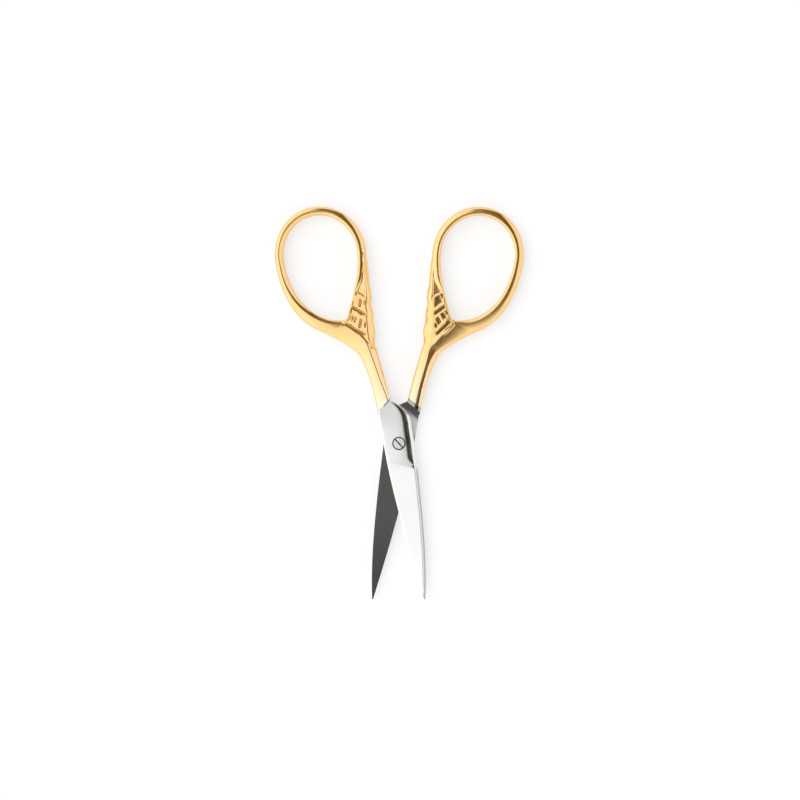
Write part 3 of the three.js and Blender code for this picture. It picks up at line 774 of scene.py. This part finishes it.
# Lattice panel between bow and shank: a border rail, a carved face on each side and the valley above it
panel = {
    "panelTop": 42.9,
    "panelThickness": 2.76,
    "edgePower": 1.2,  # of the closing edge's curve
    "holeInset": 0.4,
    "webHalf": 1.02,
    "webFoot": 1.0,  # below the fork
    "webCorner": (0.7, 0.5),  # below the hole's corner, as parts of the bow's band
    "valleySpan": (32.0, 38.6),
    "valleyDepth": 0.42,
    "webInset": 0.45,
    "faceHalf": 1.36,
    "faceTilt": 0.09,  # both faces lean the same way
    "faceMiddle": {1: -5.0, -1: -4.2},  # by side
    "faceMost": 1.58,
    "faceReach": 0.74,  # closing edge to the face, as a part of the rail's width
    "railLift": 0.2,
    "railSink": (40.6, 45.0),  # its top end sinks into the bow
    "railSinks": (0.5, 0.5, 0.4),  # by moving in, narrowing and thinning
    "railStart": (20.9, 23.5),  # and its foot grows out of the shank
    "railFoot": 0.75,
    "railLean": 0.1,
    "railSection": (3.2, 0.3, 0.3, 0, 0, 0, 0.28, 0.28),
    "faceSpan": (23.0, 33.2, 34.9),  # foot, head at the border and head at the hole
    "faceFoot": ((-7.85, 27.8), (-6.4, 25.8), (-4.5, 24.05), (-2.7, 23.1)),
    "overDepth": 0.42,
    "underDepth": 0.9,
    "recessDepth": (0.2, 0.7),  # the carving gets soil and painted shade from the first to the second depth
    "recessRim": (0.6, 0.85),  # and from these distances to the hole
    # height, width and outward wave of the border rail
    "rail": (
        (20.9, 0.8, 0.0), (22.4, 1.0, 0.02), (23.6, 1.7, 0.06), (25.3, 2.4, 0.3), (26.8, 2.1, 0.17),
        (27.8, 2.0, 0.04), (28.9, 2.0, 0.14), (30.0, 1.75, 0.08), (31.4, 1.6, -0.12), (32.9, 1.55, 0.2),
        (34.2, 1.5, 0.12), (36.0, 1.2, -0.02), (38.5, 1.0, 0.0), (42.0, 0.95, 0.0), (45.4, 0.9, 0.0),
    ),
    # corners of the slits in the outer face
    "over": (
        ((-4.21, 34.3), (-3.83, 34.5), (-3.75, 34.0), (-4.13, 33.8)),
        ((-3.25, 32.9), (-2.92, 32.65), (-3.4, 31.2), (-3.75, 31.4)),
        ((-2.3, 32.45), (-2.0, 32.3), (-2.2, 31.6), (-2.5, 31.7)),
        ((-5.25, 31.85), (-2.45, 29.55), (-2.4, 29.05), (-3.46, 29.38), (-5.45, 31.45)),
        ((-5.95, 30.0), (-5.72, 29.85), (-6.2, 28.85), (-6.42, 29.0)),
        ((-5.42, 29.6), (-5.18, 29.45), (-5.68, 28.4), (-5.92, 28.55)),
        ((-4.95, 29.3), (-4.62, 29.1), (-5.12, 28.0), (-5.42, 28.2)),
        ((-3.88, 28.6), (-3.5, 28.35), (-4.12, 26.55), (-4.63, 26.8)),
        ((-2.95, 27.75), (-2.6, 27.6), (-3.05, 26.5), (-3.35, 26.65)),
        (
            (-7.3, 28.4), (-5.05, 26.5), (-3.3, 25.25), (-3.2, 24.75),
            (-4.2, 25.0), (-5.5, 26.0), (-7.55, 28.0),
        ),
    ),
    # and of the windows in the inner face
    "under": (
        ((-3.63, 33.95), (-3.92, 34.5), (-4.42, 33.35), (-4.17, 33.3)),
        ((-2.56, 33.1), (-3.38, 33.96), (-4.21, 32.46), (-2.9, 31.04)),
        ((-3.0, 30.04), (-4.87, 31.96), (-5.23, 31.31), (-3.16, 29.26)),
        ((-5.27, 30.5), (-5.6, 30.8), (-5.97, 30.0), (-5.7, 29.75)),
        ((-4.4, 29.76), (-4.89, 30.26), (-5.72, 29.3), (-5.27, 28.68)),
        ((-3.53, 28.6), (-4.01, 29.15), (-4.83, 28.1), (-4.27, 27.23)),
        ((-3.5, 27.3), (-3.65, 27.75), (-4.16, 26.89), (-3.8, 26.5)),
        ((-4.1, 25.5), (-6.5, 28.8), (-6.95, 28.32), (-4.4, 25.0)),
    ),
}


def railAt(y):
    # width and wave of the border rail
    heights, *columns = np.array(panel["rail"]).T
    return [np.interp(y, heights, column) for column in columns]


def closingEdge(y):
    share = (panel["panelTop"] - y) / (panel["panelTop"] - shank["forkHeight"])
    return mix(-bow["gap"] / 2, -shank["forkInset"], np.clip(share, 0, None) ** panel["edgePower"])


def webEdge(heights):
    return [flat(closingEdge(y) - panel["webInset"], y) for y in heights]


def railSkin():
    rail = through(panel["rail"], np.linspace(0, 1, 200))
    y, width, wave = rail.T
    sunk = ease(y, *panel["railSink"])
    moved, narrowed, thinned = (share * sunk for share in panel["railSinks"])
    x = closingEdge(y) + wave - moved
    inner = np.column_stack([x, y])
    outer = np.column_stack([x - width * (1 - narrowed), y - panel["railLean"] * width])
    grown = mix(panel["railFoot"], 1.0, ease(y, *panel["railStart"]))
    half = panel["panelThickness"] / 2 * grown * (1 - thinned)
    rail = loft("railSkin", outer, inner, (half, *panel["railSection"]), False)
    rail.data.transform(Matrix.Translation((0, 0, panel["railLift"])))
    return rail


def besideHole(low, high):
    # the panel's edge along the hole, from the top down
    beside = panelSide & (holeY > low) & (holeY < high)
    return (holePoints + panel["holeInset"] * holeOut)[beside][::-4]


def webSlab():
    outside = webEdge(np.linspace(shank["forkHeight"] - panel["webFoot"], panel["panelTop"], 30))
    under = [corner - bow["bandLow"] * flat(*panel["webCorner"]), fork - flat(shank["forkWidth"] / 2, 0)]
    outline = np.array([*outside, *besideHole(0, panel["panelTop"]), *under])
    return prism(outline, -panel["webHalf"], panel["webHalf"])


def valleyFloor():
    foot, head = panel["valleySpan"]
    outline = np.array([*webEdge(np.linspace(foot, head, 9)), *besideHole(foot, head)])
    lean = panel["faceTilt"] * (outline[:, 0] - panel["faceMiddle"][1])
    return prism(outline, 0, panel["faceHalf"] - panel["valleyDepth"] + lean)


def panelFace(side):
    foot, borderHead, holeHead = panel["faceSpan"]
    climb = np.linspace(foot, borderHead, 20)
    width, wave = railAt(climb)
    reach = wave - panel["faceReach"] * width
    outside = np.column_stack([closingEdge(climb) + reach, climb])
    outline = np.array([*outside, *besideHole(0, holeHead), *panel["faceFoot"]])
    lean = side * panel["faceTilt"] * (outline[:, 0] - panel["faceMiddle"][side])
    height = np.minimum(panel["faceHalf"] + lean, panel["faceMost"])
    return prism(outline, np.minimum(side * height, 0), np.maximum(side * height, 0))


def carving():
    over = panel["faceHalf"] - panel["overDepth"]
    under = panel["faceHalf"] - panel["underDepth"]
    slits = [prism(corners, over, far) for corners in panel["over"]]
    return slits + [prism(corners, -far, -under) for corners in panel["under"]]


casting = {"voxel": 0.115, "smoothing": 2, "softness": 0.5}


def handleForm():
    parts = shankSkin(), railSkin(), webSlab(), valleyFloor(), panelFace(1), panelFace(-1)
    form = combine(bowSkin(), "UNION", *parts)
    form = combine(form, "DIFFERENCE", *carving())
    remesh = form.modifiers.new("cast", "REMESH")
    remesh.mode = "VOXEL"
    remesh.voxel_size = casting["voxel"]
    soften = form.modifiers.new("soften", "SMOOTH")
    soften.factor = casting["softness"]
    soften.iterations = casting["smoothing"]
    return settle(form)


def giltHandle(form):
    # the handle ends a seam's width from the steel
    gap = halves["seamGap"]
    outer = outerGiltPoint + flat(0, gap / giltCos)
    inner = innerGiltPoint + flat(0, gap / shoulderCos)
    return combine(
        form,
        "DIFFERENCE",
        beyond(outer, joint["giltSlope"] + 180, -gap, far),
        beyond(inner, joint["shoulderSlope"] + 180, -far, gap),
    )


# Blade, joint plate and the steel root that runs into the handle
blade = {
    "length": 35.0,
    "plateThickness": 1.3,
    "facetStart": 4.4,
    "facetRun": 1.8,
    "bevelEnd": (3.2, 6.0),  # the plate's bevel closes between these depths
    "plateCrown": 0.32,  # fall of the plate from its bevel to the edge side
    "crownEnd": (3.0, 6.2),  # it fades out between these heights
    "plateBevel": 2.6,
    "plateStripe": 0.72,
    "plateBevelDrop": 0.3,
    "plateStripeDrop": 0.62,
    "neckBevel": 0.4,
    "neckDrop": 0.16,
    "chamfer": 0.3,
    "pointWidth": 0.26,
    "pointThickness": 0.5,
    "edgeThickness": 0.1,
    "edgeBevel": 0.45,
    "edgeRise": 0.24,
    "spineBevel": 0.62,
    "spineDrop": 0.42,
    # turns of the two curves, as parts of the plate's sides and of the length
    "edgeTurns": ((-0.985, -0.3), (-0.507, -0.66)),
    "spineTurns": ((0.84, -0.36), (0.67, -0.72)),
    "softening": 0.05,
}


def bladeRing(edge, spine, neck=0.0):
    across = spine - edge
    width = np.linalg.norm(across)
    across = across / width
    depth = -(edge[1] + spine[1]) / 2
    facet = ease(depth, blade["facetStart"], blade["facetStart"] + blade["facetRun"])
    closing = ease(depth, *blade["bevelEnd"])
    thickness = mix(blade["plateThickness"], blade["pointThickness"], np.clip(depth / blade["length"], 0, 1))
    soft = min(blade["softening"], 0.08 * width, 0.1 * thickness)
    stripe = min(mix(mix(blade["plateStripe"], 0.2, neck), blade["spineBevel"], closing), 0.4 * width)
    bevel = mix(mix(blade["plateBevel"], blade["neckBevel"], neck), stripe + 0.02, closing)
    bevel = max(min(bevel, 0.55 * width), stripe + 0.02)
    sag = mix(mix(blade["plateBevelDrop"], 0.3 * blade["neckDrop"], neck), 0.0, closing)
    fall = mix(mix(blade["plateStripeDrop"], 0.7 * blade["neckDrop"], neck), blade["spineDrop"], closing)
    low = max(thickness - sag - fall, 0.25 * thickness)
    chamferRun = min(mix(blade["chamfer"], blade["edgeBevel"], facet), 0.3 * width)
    side = thickness - blade["plateCrown"] * (1 - ease(edge[1], *blade["crownEnd"]))
    edgeHigh = mix(side - 0.7 * blade["chamfer"], blade["edgeThickness"], facet)
    facetLow = mix(side, blade["edgeThickness"] + blade["edgeRise"], facet)
    profile = [(soft, 0), (0, soft), (0, edgeHigh)]
    for t in (0.0, 0.15, 0.3, 0.45, 0.6, 0.75, 0.9):  # crowned on the plate, flat on the ground facet
        reach = mix(chamferRun, width - bevel, t)
        profile.append((reach, thickness - (thickness - facetLow) * (1 - t) ** mix(2.0, 1.0, facet)))
    for t in (0.0, 0.2, 0.4, 0.6, 0.8, 1.0):  # the bevel turns over gradually
        profile.append((width - mix(bevel, stripe, t), thickness - sag * t**1.9))
    profile += [(width - soft, low + soft), (width, low - soft), (width, soft), (width - soft, 0)]
    return np.array([[*(edge + across * reach), innerFace + height] for reach, height in profile])


def bladePlate():
    length, point = blade["length"], blade["pointWidth"]
    edgeSide, spineSide, top = joint["edgeSide"], joint["spineSide"], joint["knuckleHeight"]
    depths = np.concatenate([np.linspace(1, 0.25, 70), np.linspace(0.25, 0.0, 50)[1:]])
    edgeTurns = [(reach * edgeSide, depth * length) for reach, depth in blade["edgeTurns"]]
    spineTurns = [(reach * spineSide, depth * length) for reach, depth in blade["spineTurns"]]
    edges = bezier([(-edgeSide, 0), *edgeTurns, (-point / 3, -length)], depths)
    spines = bezier([(spineSide, 0), *spineTurns, (2 * point / 3, -length)], depths)
    rings = [bladeRing(e, s) for e, s in zip(edges, spines)]
    for share, knee in zip(np.linspace(0, 1, 41), kneePoints):
        rings.append(bladeRing(flat(-edgeSide, mix(knuckle[0][1], top, share)), knee, share**2))
    return skin("bladePlate", rings)


def rampHollow():
    # what the wheel took away between the gilt line and the plate
    run = np.linspace(0, 1, 9)
    rise = halves["shankProud"] * (1 - run) ** joint["rampHollow"]
    curve = np.column_stack([joint["rampLength"] * run, plateTop + rise])
    outline = [*curve, (far, plateTop), (far, far), (0, far)]
    across, up = heading(joint["giltSlope"])
    rings = []
    for side in (-far, far):
        rings.append(np.array([[*(outerGiltPoint - up * p[0] + across * side), p[1]] for p in outline]))
    return skin("rampHollow", rings)


def steelBlade(shankForm, bore, counterbore):
    rampFoot = outerGiltPoint - flat(0, joint["rampLength"] / giltCos)
    pastShoulder = beyond(shoulderPoint, joint["shoulderSlope"], -far, far)
    pastRamp = beyond(rampFoot, joint["giltSlope"], innerFace, far)
    root = combine(copyOf(shankForm, "root"), "INTERSECT", pastShoulder)
    upper = combine(copyOf(shankForm, "upper"), "INTERSECT", pastRamp)
    root = combine(root, "UNION", upper)
    root = combine(root, "DIFFERENCE", rampHollow())
    body = combine(bladePlate(), "UNION", root)
    tools = [
        beyond(outerGiltPoint, joint["giltSlope"], 0, far),
        beyond(innerGiltPoint, joint["shoulderSlope"], -far, 0),
        prism(circle(bore), -far, far),
    ]
    if counterbore:
        tools.append(prism(circle(counterbore), plateTop - pivot["headThickness"], far))
    return combine(body, "DIFFERENCE", *tools)


# Pivot screw
pivot = {
    "diameter": 1.9,
    "fit": 0.05,
    "threadFit": 0.03,
    "headDiameter": 2.62,
    "headFit": 0.1,
    "headThickness": 0.55,
    "headRound": 0.1,
    "headChamfer": 0.03,  # below
    "slotWidth": 0.28,
    "slotDepth": 0.26,
    "slotAngle": -47.0,
    "sides": 96,
}


def screwBody():
    head, shaft, soft = pivot["headDiameter"] / 2, pivot["diameter"] / 2, pivot["headRound"]
    seat = plateTop - pivot["headThickness"] + pivot["fit"]
    turns = np.linspace(0, math.pi / 2, 6)
    profile = [(shaft - soft + soft * math.sin(t), -shankTop + soft - soft * math.cos(t)) for t in turns]
    chamfer = pivot["headChamfer"]
    profile += [(shaft, seat), (head - chamfer, seat), (head, seat + chamfer)]
    profile += [(head - soft + soft * math.cos(t), plateTop - soft + soft * math.sin(t)) for t in turns]
    rings = [np.column_stack([circle(r), np.full(pivot["sides"], z)]) for r, z in profile]
    body = skin("pivotScrew", rings)
    along, across = heading(pivot["slotAngle"])
    reach, half = 2 * head, pivot["slotWidth"] / 2
    outline = [along * a * reach + across * b * half for a, b in ((-1, -1), (1, -1), (1, 1), (-1, 1))]
    return combine(body, "DIFFERENCE", prism(outline, plateTop - pivot["slotDepth"], far))


# Placing
def recessOf(points):
    # how deep a point lies in the carved panel and the valley above it
    x, y, z = points.T
    width, wave = railAt(y)
    border = closingEdge(y) + wave - width
    foot = np.interp(x, *np.array(panel["faceFoot"]).T)
    within = (y > foot + 0.5) & (y < panel["panelTop"])  # with margins in millimetres
    near = np.flatnonzero(within & (x < border + 0.3) & (x > corner[0] - 0.5))
    rim = holePoints[panelSide & (holeY < panel["panelTop"])]
    away = np.linalg.norm(points[near, None, :2] - rim[None], axis=2).min(1)
    depth = np.zeros(len(points))
    depth[near] = ease(panel["faceHalf"] - np.abs(z[near]), *panel["recessDepth"])
    depth[near] *= ease(away, *panel["recessRim"])
    return depth


def finishPiece(obj, name, material, turn, flipped, sharp):
    mesh = obj.data
    obj.name = name
    mesh.name = name
    outward(mesh)
    drawn = np.zeros(len(mesh.vertices) * 3, np.float32)
    mesh.vertices.foreach_get("co", drawn)
    mesh.attributes.new("drawn", "FLOAT_VECTOR", "POINT").data.foreach_set("vector", drawn)
    points = drawn.reshape(-1, 3)
    recess = recessOf(points).astype(np.float32)
    mesh.attributes.new("recess", "FLOAT", "POINT").data.foreach_set("value", recess)
    placed = points.astype(float) * ((-1, 1, -1) if flipped else (1, 1, 1))
    turned = placed[:, :2] @ np.array(heading(turn))
    placed = np.column_stack([turned, placed[:, 2] + shankTop]) * mm
    mesh.vertices.foreach_set("co", placed.astype(np.float32).ravel())
    mesh.materials.clear()
    mesh.materials.append(material)
    mesh.polygons.foreach_set("use_smooth", np.ones(len(mesh.polygons), bool))
    mesh.set_sharp_from_angle(angle=math.radians(sharp))
    mesh.update()
    return obj


# Studio: straight down on a pale table
studio = {
    "pixel": 0.222,  # millimetres
    "pivotPixel": (399.0, 443.3),
    "roll": 0.1,
    "distance": 900.0,
    "floorTone": 0.96,
    "floorWhite": 0.62,  # share of the floor's own white that the camera and polished metal see
    "floorSize": 3.0,  # metres, half
    "floorLevel": -0.00002,
    "skyLevel": 1.1,
    "skyLeft": 1.36,
    "skyRun": 0.6,
    "card": (-0.07, 0.56, -0.45, 0.9),  # dark card overhead: left, right, low and high, as parts of the dome
    "cardSoftness": 0.05,
    "cardFade": 0.33,  # it fades out towards the low side
    "cardTone": (0.12, 0.116, 0.112, 1),
    "cardDeep": (0.036, 0.027, 0.02, 1),
    "cardDeepens": (0.14, 0.36),  # its tone falls from left to right
    "keyLevel": 0.9,
    "keySpread": 60.0,
    "keyTurn": (-22.0, -32.0, 0.0),
    "sensor": 36.0,
}


def makeCamera():
    frameSize = 800
    lens = bpy.data.cameras.new("camera")
    lens.sensor_width = studio["sensor"]
    lens.lens = studio["sensor"] * studio["distance"] / (frameSize * studio["pixel"])
    lens.clip_start, lens.clip_end = 0.05, 20
    camera = objectOf("camera", lens)
    x = (frameSize / 2 - studio["pivotPixel"][0]) * studio["pixel"]
    y = (studio["pivotPixel"][1] - frameSize / 2) * studio["pixel"]
    camera.location = (x * mm, y * mm, studio["distance"] * mm)
    camera.rotation_euler = (0, 0, math.radians(studio["roll"]))
    scene.camera = camera


def makeFloor():
    material, desk = startMaterial("paleTable")
    rays = ("Is Camera Ray", "Is Glossy Ray", "Is Transmission Ray")
    seen = sum(desk.make("ShaderNodeLightPath", None, None, ray) for ray in rays)
    tone = studio["floorTone"]
    matt = desk.make("ShaderNodeBsdfDiffuse", None, {"Color": (tone, tone, tone * 1.01, 1)})
    white = desk.make("ShaderNodeEmission", None, {"Color": grey(1.0)})
    inputs = {0: seen * studio["floorWhite"], 1: matt, 2: white}
    endMaterial(desk, desk.make("ShaderNodeMixShader", None, inputs))
    size, level = studio["floorSize"], studio["floorLevel"]
    corners = [(-size, -size, level), (size, -size, level), (size, size, level), (-size, size, level)]
    floor = meshFrom("floor", corners, [[0, 1, 2, 3]])
    floor.data.materials.append(material)


def makeLight():
    world = bpy.data.worlds.new("studio")
    scene.world = world
    world.use_nodes = True
    world.node_tree.nodes.clear()
    desk = Desk(world.node_tree)
    x, y, z = desk.split(desk.make("ShaderNodeTexCoord", None, None, "Generated"))
    left, right, low, high = studio["card"]
    soft, fade = studio["cardSoftness"], studio["cardFade"]
    card = x.ease(left - soft, left + soft) * (1 - x.ease(right - soft, right + soft))
    card = card * y.ease(low - fade, low + fade) * (1 - y.ease(high - soft, high + soft)) * (z > 0.0)
    sky = desk.blend((0.0 - x).ease(0.0, studio["skyRun"]), grey(studio["skyLevel"]), grey(studio["skyLeft"]))
    tone = desk.blend(x.ease(*studio["cardDeepens"]), studio["cardTone"], studio["cardDeep"])
    light = desk.blend(card, sky, tone)
    seen = desk.make("ShaderNodeLightPath", None, None, "Is Camera Ray")
    colour = desk.blend(seen, light, grey(1.0))
    background = desk.make("ShaderNodeBackground", None, {"Color": colour})
    desk.make("ShaderNodeOutputWorld", None, {"Surface": background})
    key = bpy.data.lights.new("key", "SUN")
    key.energy = studio["keyLevel"]
    key.angle = math.radians(studio["keySpread"])
    lamp = objectOf("key", key)
    lamp.rotation_euler = [math.radians(turn) for turn in studio["keyTurn"]]
    lamp.visible_glossy = False  # it only gives the soft shadow


makeCamera()
makeFloor()
makeLight()
print("studio ready")

loftTree = ovalLoft()
gilt = giltMaterial()
bladeSteel = bladeMaterial()
screwSteel = screwMaterial()
print("finishes ready")

shankForm = shankSkin()
form = giltHandle(handleForm())
print("handle form:", len(form.data.polygons), "faces")
shaft, head = pivot["diameter"] / 2, pivot["headDiameter"] / 2
frontSteel = steelBlade(shankForm, shaft + pivot["fit"], head + pivot["headFit"])
backSteel = steelBlade(shankForm, shaft + pivot["threadFit"], 0)
bpy.data.objects.remove(shankForm)
print("blades:", len(frontSteel.data.polygons), "and", len(backSteel.data.polygons), "faces")

turn = halves["restAngle"]
sharpFrom = {"gilt": 50, "blade_steel": 14, "screw_steel": 30}  # degrees between two faces, by slot
pieces = (
    (copyOf(form, "handle"), "frontHandle", gilt, turn, False, "front_half", "front_handle", "gilt"),
    (form, "backHandle", gilt, -turn, True, "back_half", "back_handle", "gilt"),
    (frontSteel, "frontBlade", bladeSteel, turn, False, "front_half", "front_blade", "blade_steel"),
    (backSteel, "backBlade", bladeSteel, -turn, True, "back_half", "back_blade", "blade_steel"),
    (screwBody(), "pivotScrew", screwSteel, 0, False, "back_half", "pivot_screw", "screw_steel"),
)
for obj, name, material, angle, flipped, body, node, slot in pieces:
    piece = finishPiece(obj, name, material, angle, flipped, sharpFrom[slot])
    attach(piece, body)
    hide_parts(node)
    triangles = sum(len(face.vertices) - 2 for face in piece.data.polygons)
    print(name, "on", body, "with", triangles, "triangles")
